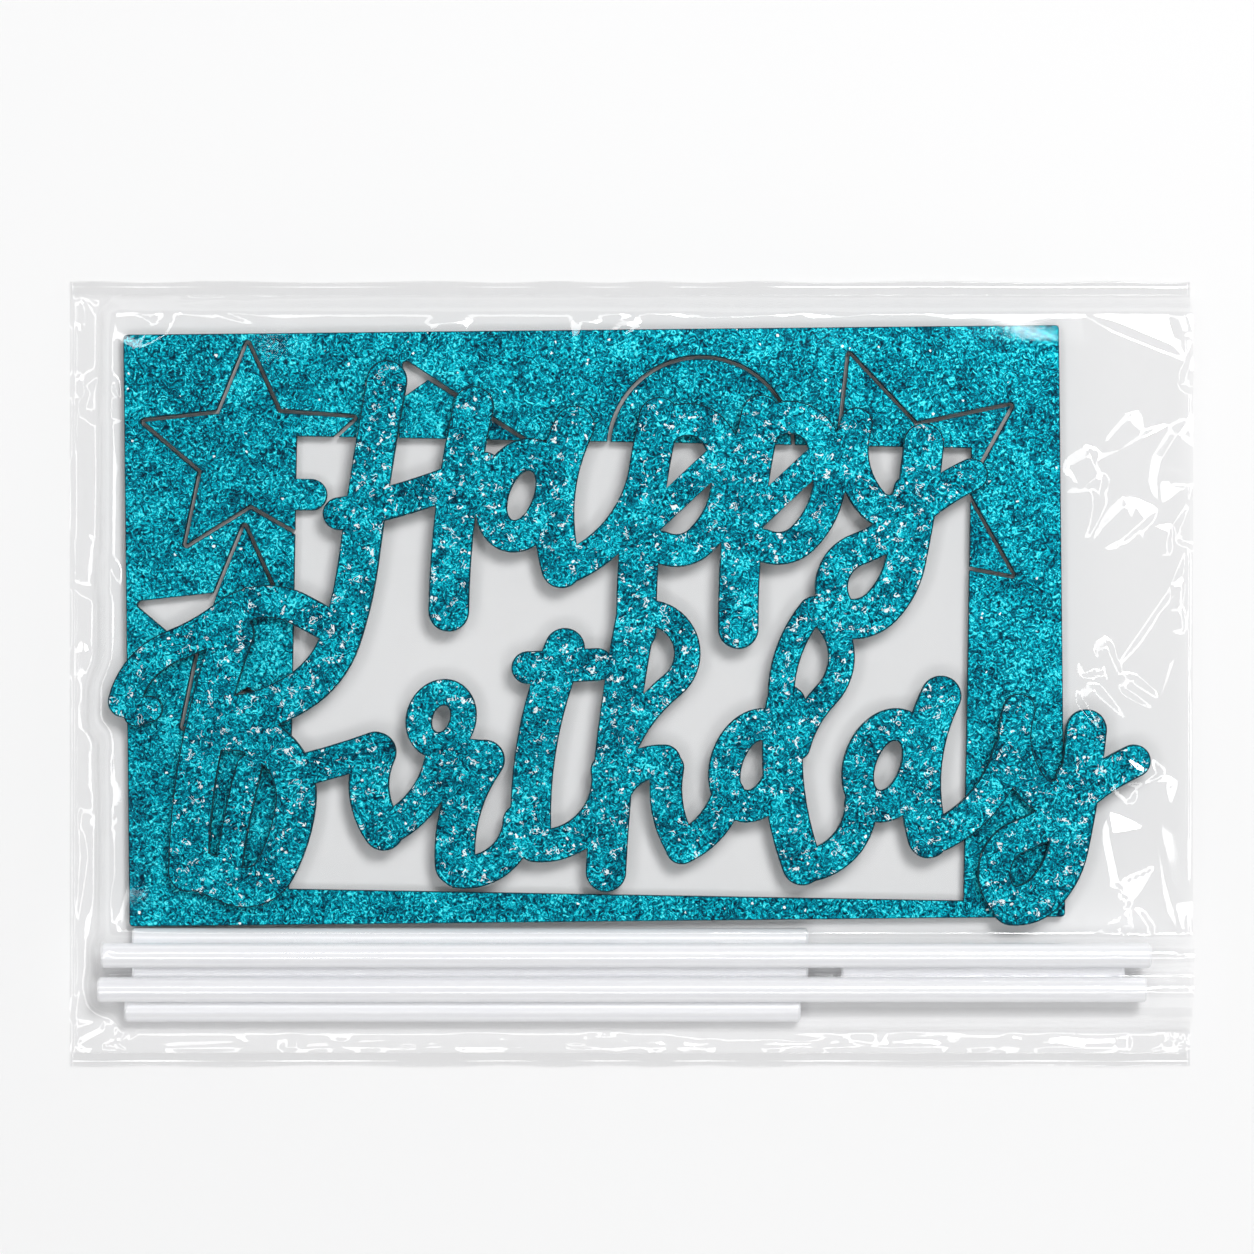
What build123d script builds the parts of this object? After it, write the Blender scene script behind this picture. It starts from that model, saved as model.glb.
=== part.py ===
"""Cake topper kit: glitter greeting, die-cut carrier sheet and sticks in a clear bag.

The kit lies flat with its face up. The origin is on the floor under the middle of the bag,
X runs along the bag from its folded end to its open mouth, and Z points up. Millimetres.
"""

import os
from math import asin, atan2, cos, radians, sin, sqrt, tan

from build123d import *

# Sheet stock: a foam backing with a glitter face bonded to it
backing_thickness = 1.7
glitter_thickness = 0.3
sheet_thickness = backing_thickness + glitter_thickness

# Carrier sheet: four bars around one large window, with slits around the press-out shapes
window_length = 97.0
window_width = 65.1
left_bar = 23.8
right_bar = 13.6
top_bar = 16.15
bottom_bar = 3.75
carrier_corner_radius = 0.6
slit_width = 0.55

# The sheet lies askew in the bag, and its die cut askew on the sheet. Degrees.
sheet_turn = 0.6
die_turn = -1.6

# Press-out shapes, and the foam left between them and the edges of the sheet
small_star_radius = 15.8
small_star_side_margin = 1.9
small_star_top_margin = 3.05
small_star_gap = 3.2
large_star_radius = 20.6
large_star_top_margin = 3.15
large_star_side_margin = 7.5
disc_radius = 13.0
disc_margin = 4.05
pennant_length = 21.6
pennant_gap = 6.6
tab_width = 4.5
tab_length = 9.0

# Greeting: letter height without ascenders, and the three pens that draw it
letter_height = 15.55
broad_pen = 5.8
fine_pen = 4.7
slim_pen = 3.8

# Sticks
stick_diameter = 3.6
stick_chamfer = 0.3
long_stick_length = 150.2
short_stick_length = 97.0
stub_stick_length = 40.6

# Bag: two films of one sheet, folded at one end and welded along both long sides
film_thickness = 0.15
seam_width = 2.0
fold_run = 3.4
step_run = 5.8
sag_run = 6.0
upper_shoulder = 2.0
upper_slack = 4.3
lower_slack = 4.5
mouth_slack = 6.0

# How far each piece lies from the folded end of the bag
lower_long_stick_start = 4.4
upper_long_stick_start = 5.0
greeting_start = 5.8
carrier_start = 7.85
lower_short_stick_start = 8.1
upper_short_stick_start = 9.2
middle_short_stick_start = 9.2
stub_gap = 4.8

# Clearances
lay_gap = 0.1
side_gap = 0.2
film_ease = 0.2
greeting_lift = 0.2
nest_gap = 0.4
loose_gap = 2.3


# Greeting

# Each stroke is a pen and the points that its line goes through, in shares of the letter
# height from the foot of the letter's left side.
pens = {"broad": broad_pen, "fine": fine_pen, "slim": slim_pen}
letter_shares = {
    "H": [
        ("broad", [(0.26, 1.56), (0.13, 0.80), (0.0, -0.1), (-0.17, -0.83), (-0.56, -1.32), (-1.19, -1.54)]),
        ("broad", [(1.06, 1.32), (0.91, 0.50), (0.83, -0.57)]),
        ("fine", [(-0.18, 0.33), (0.45, 0.48), (1.16, 0.75)]),
    ],
    "a": [
        ("broad", [(0.90, 1.12), (0.72, 0.49), (0.78, -0.19)]),
        ("fine", [(0.80, -0.20), (1.20, 0.05), (1.53, 0.61)]),
    ],
    "p": [
        ("broad", [(0.34, 1.32), (0.21, 0.60), (0.13, -0.65)]),
        ("fine", [(0.30, 1.06), (0.60, 1.30), (0.90, 1.10)]),
        ("fine", [(0.90, 1.12), (0.96, 0.62), (0.72, 0.18), (0.36, 0.12)]),
        ("slim", [(0.26, 0.36), (0.92, 0.98)]),
    ],
    "y": [
        ("fine", [(0.13, 0.92), (0.11, 0.50), (0.28, 0.18), (0.62, 0.30)]),
        ("broad", [(0.75, 0.74), (0.69, 0.25), (0.58, -0.36), (0.36, -0.77), (0.06, -0.88)]),
        ("fine", [(0.06, -0.89), (-0.10, -0.62), (0.14, -0.24), (0.62, 0.06), (1.19, 0.45)]),
    ],
    "B": [
        ("fine", [(-0.59, 1.67), (-0.46, 1.94), (-0.14, 2.18), (0.35, 2.46), (1.02, 2.52), (1.42, 2.3)]),
        ("slim", [(-0.48, 1.56), (-0.36, 1.60)]),
        ("broad", [(0.42, 2.30), (0.13, 1.30), (0.00, 0.10)]),
        ("broad", [(0.32, 1.4), (0.82, 1.22), (0.99, 0.72), (0.8, 0.12), (0.4, -0.02), (0.08, 0.12)]),
        ("slim", [(0.56, 1.06), (0.45, 0.60), (0.37, 0.12)]),
    ],
    "i": [
        ("fine", [(-0.46, 0.69), (-0.09, 0.79), (0.24, 0.90)]),
        ("broad", [(0.25, 0.86), (0.19, 0.46), (0.32, 0.14)]),
        ("fine", [(0.32, 0.14), (0.64, 0.37), (0.85, 0.81)]),
    ],
    "r": [
        ("fine", [(0.09, 1.31), (0.43, 1.28)]),
        ("broad", [(0.42, 1.25), (0.20, 0.79), (0.15, 0.28)]),
        ("fine", [(0.17, 0.22), (0.52, 0.30), (0.74, 0.69)]),
    ],
    "t": [
        ("broad", [(0.51, 2.02), (0.26, 1.18), (0.20, 0.28)]),
        ("fine", [(0.23, 0.20), (0.63, 0.30), (0.90, 0.90)]),
        ("fine", [(0.17, 1.84), (0.81, 1.87)]),
    ],
    "h": [
        ("broad", [(0.43, 2.36), (0.25, 1.21), (0.15, 0.00)]),
        ("slim", [(0.46, 2.38), (0.86, 2.18), (0.76, 1.72), (0.35, 1.21)]),
        ("fine", [(0.20, 0.61), (0.43, 0.96), (0.69, 1.02)]),
        ("fine", [(0.72, 0.96), (0.73, 0.52), (0.85, 0.23)]),
        ("fine", [(0.85, 0.22), (1.09, 0.39), (1.28, 0.72)]),
    ],
    "d": [
        ("broad", [(0.70, 1.04), (0.68, 0.30), (0.85, -0.44)]),
        ("slim", [(0.70, 0.76), (0.69, 1.41), (0.94, 1.91)]),
        ("slim", [(0.96, 1.92), (1.20, 1.59), (1.07, 1.13), (0.80, 0.65)]),
        ("fine", [(0.86, -0.45), (1.17, -0.33), (1.39, 0.13)]),
    ],
}
# Each closed bowl is a ring of the pen: its middle, its two radii and how far it leans.
bowl_lean = 20
round_bowl_shares = ("fine", (0.41, 0.48), (0.26, 0.39))
bowl_shares = {
    "a": round_bowl_shares,
    "d": round_bowl_shares,
    "r": ("slim", (0.02, 1.63), (0.20, 0.25)),
}
# The letters bounce along their two lines, so each foot has a place of its own, measured in
# letter heights from the middle of the greeting.
upper_letter_count = 5
letter_place_shares = [
    ("H", (-2.50, 1.19)),
    ("a", (-1.41, 1.21)),
    ("p", (-0.07, 1.09)),
    ("p", (0.87, 1.11)),
    ("y", (1.96, 1.43)),
    ("B", (-4.07, -1.88)),
    ("i", (-2.59, -1.54)),
    ("r", (-1.76, -2.00)),
    ("t", (-1.11, -1.74)),
    ("h", (-0.37, -1.78)),
    ("d", (0.74, -1.28)),
    ("a", (1.97, -1.28)),
    ("y", (3.46, -1.21)),
]


def scaled(points):
    """Points of a letter at its real size."""
    return [(letter_height * across, letter_height * up) for across, up in points]


def pen_line(points):
    """A smooth line of arcs: three points set the first bend, and the rest follow on from it."""
    with BuildLine() as line:
        if len(points) == 2:
            Line(*points)
        else:
            bend = ThreePointArc(*points[:3])
            for point in points[3:]:
                bend = TangentArc(bend @ 1, point, tangent=bend % 1)
    return line.wire()


def letter(name):
    """One letter, drawn at the origin with round-ended strokes and rings."""
    with BuildSketch() as drawn:
        for pen, points in letter_shares[name]:
            SlotArc(pen_line(scaled(points)), pens[pen])
        if name in bowl_shares:
            add(bowl(*bowl_shares[name]))
    return drawn.sketch


def bowl(pen, middle, radii):
    """A leaning oval ring of the pen's width."""
    reach = pens[pen] / 2
    across, along = (letter_height * share for share in radii)
    with BuildSketch() as ring:
        with Locations(scaled([middle])[0]):
            Ellipse(across + reach, along + reach, rotation=-bowl_lean)
            Ellipse(across - reach, along - reach, rotation=-bowl_lean, mode=Mode.SUBTRACT)
    return ring.sketch


with BuildSketch() as greeting_outline:
    for name, place in letter_place_shares:
        with Locations(scaled([place])[0]):
            add(letter(name))

greeting_box = greeting_outline.sketch.bounding_box()


def letter_box(name, place):
    """The box around one letter at its place in the greeting."""
    with BuildSketch() as placed:
        with Locations(scaled([place])[0]):
            add(letter(name))
    return placed.sketch.bounding_box()


upper_word_box = letter_box(*letter_place_shares[0])
lower_word_box = letter_box(*letter_place_shares[upper_letter_count])


# Layout

# Heights: the carrier lies on the lower film, the greeting on the carrier, and the long
# sticks in the grooves between the short ones.
stick_radius = stick_diameter / 2
stick_pitch = stick_diameter + nest_gap
loose_pitch = stick_diameter + loose_gap
carrier_bottom = film_thickness + lay_gap
greeting_bottom = carrier_bottom + sheet_thickness + lay_gap
sheets_top = greeting_bottom + sheet_thickness
floor_stick_height = film_thickness + lay_gap + stick_radius
nested_reach = stick_diameter + lay_gap
upper_stick_height = floor_stick_height + sqrt(nested_reach**2 - (stick_pitch / 2) ** 2)
lower_stick_height = floor_stick_height + sqrt(nested_reach**2 - (loose_pitch / 2) ** 2)
sheets_film_top = sheets_top + film_ease + film_thickness
sticks_top = max(upper_stick_height, lower_stick_height) + stick_radius
sticks_film_top = sticks_top + film_ease + film_thickness

# Along the bag
carrier_length = left_bar + window_length + right_bar
carrier_width = bottom_bar + window_width + top_bar
carrier_lean = carrier_width * sin(radians(sheet_turn))
carrier_reach = carrier_lean + carrier_length * cos(radians(sheet_turn))
bag_length = mouth_slack + max(
    lower_long_stick_start + long_stick_length,
    upper_long_stick_start + long_stick_length,
    greeting_start + greeting_box.size.X,
    carrier_start + carrier_reach,
)
fold_end = -bag_length / 2

# Across the bag, from the lower weld upwards
sticks_width = stick_pitch + loose_pitch + stick_diameter
carrier_rise = carrier_length * sin(radians(sheet_turn)) + carrier_width * cos(radians(sheet_turn))
sheets_width = max(carrier_rise, greeting_lift + greeting_box.size.Y)
bag_width = 2 * seam_width + lower_slack + sticks_width + side_gap + sheets_width + upper_slack
lower_weld = seam_width - bag_width / 2
upper_weld = bag_width / 2 - seam_width
lower_short_stick_line = lower_weld + lower_slack + stick_radius
middle_short_stick_line = lower_short_stick_line + loose_pitch
upper_short_stick_line = middle_short_stick_line + stick_pitch
lower_long_stick_line = lower_short_stick_line + loose_pitch / 2
upper_long_stick_line = middle_short_stick_line + stick_pitch / 2
sheets_edge = upper_short_stick_line + stick_radius + side_gap

os.makedirs("parts", exist_ok=True)


# Sheet pieces


def cut_sheet(name, outline, left, lower, bottom, turn=0):
    """The backing and the glitter face of one piece, cut from the sheet stock together."""
    layers = [
        ("backing", bottom, backing_thickness),
        ("glitter", bottom + backing_thickness, glitter_thickness),
    ]
    for layer, height, thickness in layers:
        with BuildPart() as piece:
            with BuildSketch(Plane((left, lower, height)).rotated((0, 0, turn))):
                add(outline)
            extrude(amount=thickness)
        piece.part.label = f"{name}_{layer}"
        export_step(piece.part, f"parts/{name}_{layer}.step")


greeting_place = (
    fold_end + greeting_start - greeting_box.min.X,
    sheets_edge + greeting_lift - greeting_box.min.Y,
    greeting_bottom,
)
cut_sheet("greeting", greeting_outline.sketch, *greeting_place)

# The carrier is drawn with its lower left corner at the origin. Each star has its middle, its
# radius, the share of the radius that its notches reach, and the turn of its first tip.
star_point_count = 5
small_notch_share = 0.46
large_notch_share = 0.48
small_star_turn = 92
large_star_turn = 109.5
tip_step = 360 / star_point_count
window_top = bottom_bar + window_width
window_middle = (left_bar + window_length / 2, bottom_bar + window_width / 2)

# The two small stars stand above each other in the left bar.
left_tip_reach = -small_star_radius * cos(radians(small_star_turn + tip_step))
right_tip_reach = small_star_radius * cos(radians(small_star_turn - tip_step))
small_star_line = small_star_side_margin + left_tip_reach
small_star_rise = small_star_radius * sin(radians(small_star_turn))
upper_star_height = carrier_width - small_star_top_margin - small_star_rise
small_star_pitch = small_star_radius * (1 + small_notch_share) + small_star_gap

# The large star lies over the upper right corner of the window.
large_star_rise = large_star_radius * sin(radians(large_star_turn))
large_star_reach = large_star_radius * cos(radians(large_star_turn - 2 * tip_step))
large_star_line = carrier_length - large_star_side_margin - large_star_reach
large_star_height = carrier_width - large_star_top_margin - large_star_rise

small_star = (small_star_radius, small_notch_share, small_star_turn)
large_star = (large_star_radius, large_notch_share, large_star_turn)
stars = {
    "star_upper_left": (small_star_line, upper_star_height, *small_star),
    "star_lower_left": (small_star_line, upper_star_height - small_star_pitch, *small_star),
    "star_right": (large_star_line, large_star_height, *large_star),
}

# The pennant hangs into the window. Its corners are shares of its length and of the top bar.
pennant_left = small_star_line + right_tip_reach + pennant_gap
pennant_cut_out_shares = [(0.04, 0.65), (1.0, -0.15), (0.0, -0.15)]
pennant_shares = [(0.0, 0.34), (0.185, 0.52), (1.0, -0.15), (0.0, -0.15)]

# The disc lies between the pennant and the large star.
pennant_edge_share = 0.82
disc_place_share = 0.65
disc_span_start = pennant_left + pennant_edge_share * pennant_length
disc_span_end = large_star_line - large_notch_share * large_star_reach
disc_room = disc_span_end - disc_span_start - 2 * disc_radius
disc_line = disc_span_start + disc_radius + disc_place_share * disc_room
disc_height = carrier_width - disc_margin - disc_radius

# A round-ended tab runs from the upper star into the window.
tab_drop_share = 0.36
tab_place = (left_bar, upper_star_height - tab_drop_share * small_star_radius)

# The lower star has lost its left tip, and the pennant its top.
lost_tip_number = 1


def star(line, height, radius, notch_share, turn, lost_tip=None):
    """A star on the carrier sheet. Its tips count from zero, to the left of the first."""
    notch = radius * notch_share
    points = []
    for tip in range(star_point_count):
        tip_angle = radians(turn + tip_step * tip)
        notch_angle = radians(turn + tip_step * (tip + 1 / 2))
        if tip != lost_tip:
            points.append((radius * cos(tip_angle), radius * sin(tip_angle)))
        points.append((notch * cos(notch_angle), notch * sin(notch_angle)))
    with BuildSketch() as outline:
        with Locations((line, height)):
            Polygon(*points, align=None)
    return outline.sketch


def pennant(corner_shares):
    """The pennant's outline from the shares of its length and of the top bar."""
    corners = []
    for along, up in corner_shares:
        corners.append((pennant_left + pennant_length * along, window_top + top_bar * up))
    with BuildSketch() as outline:
        Polygon(*corners, align=None)
    return outline.sketch


def on_sheet(outline):
    """An outline of the die where it falls on the sheet, turned about the middle of the window."""
    return outline.rotate(Axis((*window_middle, 0), (0, 0, 1)), die_turn)


with BuildSketch() as disc_outline:
    with Locations((disc_line, disc_height)):
        Circle(disc_radius)

with BuildSketch() as tab_outline:
    with Locations(tab_place):
        SlotOverall(tab_length, tab_width)

with BuildSketch() as window_outline:
    with Locations(window_middle):
        Rectangle(window_length, window_width)

cut_outs = {name: star(*values) for name, values in stars.items()}
cut_outs["pennant_upper_left"] = pennant(pennant_cut_out_shares)
cut_outs["disc_upper_middle"] = disc_outline.sketch
press_outs = dict(cut_outs)
press_outs["star_lower_left"] = star(*stars["star_lower_left"], lost_tip=lost_tip_number)
press_outs["pennant_upper_left"] = pennant(pennant_shares)

# The window takes the middle of the large star, so its lowest arm is a piece of its own.
large_star_box = 2 * large_star_radius
for name, side in {"star_right": 1, "star_right_arm": -1}.items():
    with BuildSketch() as star_half:
        add(cut_outs["star_right"])
        with Locations((large_star_line, large_star_height + side * large_star_radius)):
            Rectangle(large_star_box, large_star_box - slit_width, mode=Mode.INTERSECT)
    press_outs[name] = star_half.sketch

with BuildSketch() as bars:
    with Locations((carrier_length / 2, carrier_width / 2)):
        RectangleRounded(carrier_length, carrier_width, carrier_corner_radius)
    add(on_sheet(window_outline.sketch), mode=Mode.SUBTRACT)

with BuildSketch() as carrier_outline:
    add(bars.sketch)
    for outline in [*cut_outs.values(), tab_outline.sketch]:
        slit = offset(on_sheet(outline), amount=slit_width, mode=Mode.PRIVATE)
        add(slit, mode=Mode.SUBTRACT)

carrier_place = (fold_end + carrier_start + carrier_lean, sheets_edge, carrier_bottom, sheet_turn)
cut_sheet("carrier", carrier_outline.sketch, *carrier_place)

for name, outline in press_outs.items():
    with BuildSketch() as press_out:
        add(on_sheet(outline))
        add(bars.sketch, mode=Mode.INTERSECT)
        if name == "star_upper_left":
            add(on_sheet(tab_outline.sketch))
    cut_sheet(name, press_out.sketch, *carrier_place)


# Sticks


def stick(name, start, line, height, length):
    """A rolled paper stick along X, with its cut ends eased."""
    with BuildPart() as rod:
        with BuildSketch(Plane((fold_end + start, line, height), x_dir=(0, 1, 0), z_dir=(1, 0, 0))):
            Circle(stick_radius)
        extrude(amount=length)
        chamfer(rod.edges().filter_by(GeomType.CIRCLE), length=stick_chamfer)
    rod.part.label = name
    export_step(rod.part, f"parts/{name}.step")


# Each stick has its start along the bag, its line across it, its height and its length.
stub_start = middle_short_stick_start + short_stick_length + stub_gap
sticks = {
    "long_stick_upper": (
        upper_long_stick_start,
        upper_long_stick_line,
        upper_stick_height,
        long_stick_length,
    ),
    "long_stick_lower": (
        lower_long_stick_start,
        lower_long_stick_line,
        lower_stick_height,
        long_stick_length,
    ),
    "short_stick_upper": (
        upper_short_stick_start,
        upper_short_stick_line,
        floor_stick_height,
        short_stick_length,
    ),
    "short_stick_middle": (
        middle_short_stick_start,
        middle_short_stick_line,
        floor_stick_height,
        short_stick_length,
    ),
    "short_stick_lower": (
        lower_short_stick_start,
        lower_short_stick_line,
        floor_stick_height,
        short_stick_length,
    ),
    "stub_stick": (stub_start, middle_short_stick_line, floor_stick_height, stub_stick_length),
}
for name, values in sticks.items():
    stick(name, *values)


# Bag

with BuildPart() as bag_back_film:
    with BuildSketch():
        Rectangle(bag_length, bag_width - 2 * seam_width)
    extrude(amount=film_thickness)
bag_back_film.part.label = "bag_back_film"
export_step(bag_back_film.part, "parts/bag_back_film.step")

# The front film lies over the sheets, climbs over the long sticks and comes down to the weld
# on each side and to the fold at one end. The other end is the open mouth.
film_reach = stick_radius + film_ease + film_thickness
lower_stick_run = lower_long_stick_line - lower_weld
lower_stick_rise = lower_stick_height - film_thickness
lower_film_slope = tan(
    atan2(lower_stick_rise, lower_stick_run)
    + asin(film_reach / sqrt(lower_stick_run**2 + lower_stick_rise**2))
)
lower_film_top = lower_stick_height + film_reach
lower_shoulder = lower_weld + (lower_film_top - film_thickness) / lower_film_slope
sheets_shoulder = sheets_edge + sheets_width - upper_shoulder
step_shoulder = upper_long_stick_line + stick_radius / 2
step_foot = step_shoulder + step_run
step_slope = (sticks_film_top - sheets_film_top) / step_run
step_end = step_foot + (sheets_film_top - film_thickness) / step_slope

# Left of the upper word the film sinks onto the carrier, and left of the lower word it comes
# down to the fold.
carrier_film_top = greeting_bottom - lay_gap + film_ease + film_thickness
greeting_left = fold_end + greeting_start - film_ease
carrier_left = fold_end + carrier_start - film_ease
upper_word_left = greeting_place[0] + upper_word_box.min.X - film_ease
lower_word_top = greeting_place[1] + lower_word_box.max.Y + film_ease


def space_above(line, plane, length):
    """The space above a line that is drawn on an upright plane, as far as the length."""
    with BuildPart() as space:
        with BuildSketch(plane):
            Polygon(
                *line,
                (line[-1][0], 2 * sticks_film_top),
                (line[0][0], 2 * sticks_film_top),
                align=None,
            )
        extrude(amount=length)
    return space.part


along_bag = Plane((fold_end, 0, 0), x_dir=(0, 1, 0), z_dir=(1, 0, 0))
across_bag = Plane((0, upper_weld, 0), x_dir=(1, 0, 0), z_dir=(0, -1, 0))
lower_word_drop = space_above(
    [(fold_end, film_thickness), (greeting_left, sheets_film_top)],
    across_bag,
    upper_weld - lower_weld,
) & space_above(
    [(step_foot, sheets_film_top), (step_end, film_thickness), (upper_weld, film_thickness)],
    along_bag,
    bag_length,
)
upper_word_drop = space_above(
    [
        (fold_end, film_thickness),
        (carrier_left, carrier_film_top),
        (upper_word_left - sag_run, carrier_film_top),
        (upper_word_left, sheets_film_top),
    ],
    across_bag,
    upper_weld - lower_weld,
) & space_above(
    [
        (lower_word_top, sheets_film_top),
        (lower_word_top + sag_run, carrier_film_top),
        (upper_weld, carrier_film_top),
    ],
    along_bag,
    bag_length,
)
with BuildPart() as film_form:
    with BuildSketch(along_bag):
        Polygon(
            (lower_weld, film_thickness),
            (upper_weld, film_thickness),
            (sheets_shoulder, sheets_film_top),
            (step_foot, sheets_film_top),
            (step_shoulder, sticks_film_top),
            (upper_long_stick_line - stick_radius / 2, sticks_film_top),
            (lower_long_stick_line, lower_film_top),
            (lower_shoulder, lower_film_top),
            align=None,
        )
    extrude(amount=bag_length)
    fold_slope = Plane(
        (fold_end, 0, film_thickness),
        x_dir=(0, 1, 0),
        z_dir=(sticks_film_top - film_thickness, 0, -fold_run),
    )
    split(bisect_by=fold_slope, keep=Keep.TOP)
    add(lower_word_drop, mode=Mode.SUBTRACT)
    add(upper_word_drop, mode=Mode.SUBTRACT)
with BuildPart() as bag_front_film:
    add(film_form.part)
    with Locations((0, 0, -film_thickness)):
        add(film_form.part, mode=Mode.SUBTRACT)
bag_front_film.part.label = "bag_front_film"
export_step(bag_front_film.part, "parts/bag_front_film.step")

seam_lines = {"bag_lower_weld": -1, "bag_upper_weld": 1}
for name, side in seam_lines.items():
    with BuildPart() as weld:
        with BuildSketch(Plane((0, side * (bag_width - seam_width) / 2, 0))):
            Rectangle(bag_length, seam_width)
        extrude(amount=2 * film_thickness)
    weld.part.label = name
    export_step(weld.part, f"parts/{name}.step")
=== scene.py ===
"""Cake topper kit in its clear bag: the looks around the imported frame. Metres, Z up."""

import math

import bpy
import numpy as np
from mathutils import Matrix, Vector


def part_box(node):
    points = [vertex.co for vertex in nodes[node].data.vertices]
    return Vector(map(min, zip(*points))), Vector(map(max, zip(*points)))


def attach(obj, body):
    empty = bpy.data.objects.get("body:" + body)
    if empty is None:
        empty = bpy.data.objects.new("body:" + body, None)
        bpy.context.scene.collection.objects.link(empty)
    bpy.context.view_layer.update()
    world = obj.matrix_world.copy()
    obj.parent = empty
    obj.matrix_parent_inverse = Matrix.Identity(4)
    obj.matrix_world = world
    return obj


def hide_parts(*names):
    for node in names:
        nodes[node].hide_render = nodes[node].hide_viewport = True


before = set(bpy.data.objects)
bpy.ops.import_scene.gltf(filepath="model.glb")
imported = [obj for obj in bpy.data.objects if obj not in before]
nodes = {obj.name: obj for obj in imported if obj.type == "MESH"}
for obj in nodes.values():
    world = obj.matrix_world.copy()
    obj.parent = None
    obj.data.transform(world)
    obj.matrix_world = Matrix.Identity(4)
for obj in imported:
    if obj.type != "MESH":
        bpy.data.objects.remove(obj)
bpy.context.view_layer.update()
bpy.ops.object.select_all(action="DESELECT")

# Bag, back half: one clear polypropylene film, folded over at the left end to become the front
# half and welded to it along both long sides. The back lies on the floor under all the rest.
mm = 0.001
half_length, film_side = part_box("bag_back_film")[1].xy
film_tint = (0.995, 0.995, 0.996, 1)
film_roughness = 0.05
graze_power = 5
back_gloss = 0.012


def new_material(name):
    """A material, its tree of nodes and the plain shader that it starts with."""
    material = bpy.data.materials.new(name)
    material.use_nodes = True
    tree = material.node_tree
    return material, tree, tree.nodes["Principled BSDF"]


def reckon(tree, operation, *values):
    """The result of one sum in a material. Its values are sockets to link or numbers to set."""
    node = tree.nodes.new("ShaderNodeMath")
    node.operation = operation
    for socket, value in zip(node.inputs, values):
        if isinstance(value, bpy.types.NodeSocket):
            tree.links.new(value, socket)
        else:
            socket.default_value = value
    return node.outputs[0]


def clear_film(name, gloss_share):
    """Film that lets light straight through, and mirrors more of it the flatter it is looked along."""
    material, tree, shader = new_material(name)
    tree.nodes.remove(shader)
    clear = tree.nodes.new("ShaderNodeBsdfTransparent")
    clear.inputs["Color"].default_value = film_tint
    gloss = tree.nodes.new("ShaderNodeBsdfGlossy")
    gloss.inputs["Roughness"].default_value = film_roughness
    facing = tree.nodes.new("ShaderNodeLayerWeight")
    graze = reckon(tree, "POWER", facing.outputs["Facing"], graze_power)
    mirrored = reckon(tree, "MULTIPLY_ADD", graze, 1 - gloss_share, gloss_share)
    mix = tree.nodes.new("ShaderNodeMixShader")
    tree.links.new(mirrored, mix.inputs["Fac"])
    tree.links.new(clear.outputs["BSDF"], mix.inputs[1])
    tree.links.new(gloss.outputs["BSDF"], mix.inputs[2])
    tree.links.new(mix.outputs["Shader"], tree.nodes["Material Output"].inputs["Surface"])
    return material


def get_points(piece):
    """The points of a piece, one row each."""
    points = np.empty(len(piece.data.vertices) * 3)
    piece.data.vertices.foreach_get("co", points)
    return points.reshape(-1, 3)


def set_points(piece, points):
    """Move the points of a piece to their places."""
    piece.data.vertices.foreach_set("co", points.ravel())
    piece.data.update()


def film_grid(name, material, columns, rows):
    """A grid of film with one point for each pair of the columns and the rows, and its points."""
    bpy.ops.mesh.primitive_grid_add(
        x_subdivisions=len(columns) - 1, y_subdivisions=len(rows) - 1, size=2
    )
    piece = bpy.context.object
    piece.name = name
    piece.data.materials.append(material)
    bpy.ops.object.shade_smooth()
    points = get_points(piece)
    column = np.rint((points[:, 0] + 1) / 2 * (len(columns) - 1)).astype(int)
    row = np.rint((points[:, 1] + 1) / 2 * (len(rows) - 1)).astype(int)
    points[:, 0], points[:, 1] = columns[column], rows[row]
    return piece, points, column, row


back_columns, back_rows = 109, 74
back_height, ripple_height = 0.06 * mm, 0.04 * mm
ripple_x, ripple_y = 5.1 * mm, 6.3 * mm
wander_x, wander_y = 23 * mm, 17 * mm
wander = 2
back_film, back_points, _, _ = film_grid(
    "back_film",
    clear_film("clear_film_back", back_gloss),
    np.linspace(-half_length, half_length, back_columns),
    np.linspace(-film_side, film_side, back_rows),
)
back_x, back_y = back_points[:, 0], back_points[:, 1]
ripple_along = np.sin(back_x / ripple_x + wander * np.sin(back_y / wander_y))
ripple_across = np.sin(back_y / ripple_y + np.sin(back_x / wander_x))
back_points[:, 2] = back_height + ripple_height * ripple_along * ripple_across
set_points(back_film, back_points)
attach(back_film, "bag")
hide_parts("bag_back_film")

# Carrier sheet with its press-out stars, pennant and disc: one foam sheet with a glitter face, cut
# through by a die. The foam is coloured a darker teal than the real foam, as painted shade on its cut
# walls and in the slits.
# Foam tones darker than the real foam: painted shade on the cut walls and in the slits.
foam_painted_shade_tones = (0.0, 0.035, 0.050, 1), (0.0, 0.085, 0.110, 1)
# The rims of the cuts are darker still: painted shade along the edges of the faces.
rim_painted_shade_tones = (0.0, 0.012, 0.020, 1), (0.0, 0.035, 0.050, 1)
# The scale of a pattern is how many of its cells or waves go to a metre.
foam_scale = 5200
foam_relief, foam_depth = 0.35, 0.08 * mm


def relief(tree, height, strength, depth):
    """The normal of a surface that a pattern raises."""
    bump = tree.nodes.new("ShaderNodeBump")
    bump.inputs["Strength"].default_value = strength
    bump.inputs["Distance"].default_value = depth
    tree.links.new(height, bump.inputs["Height"])
    return bump.outputs["Normal"]


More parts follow.
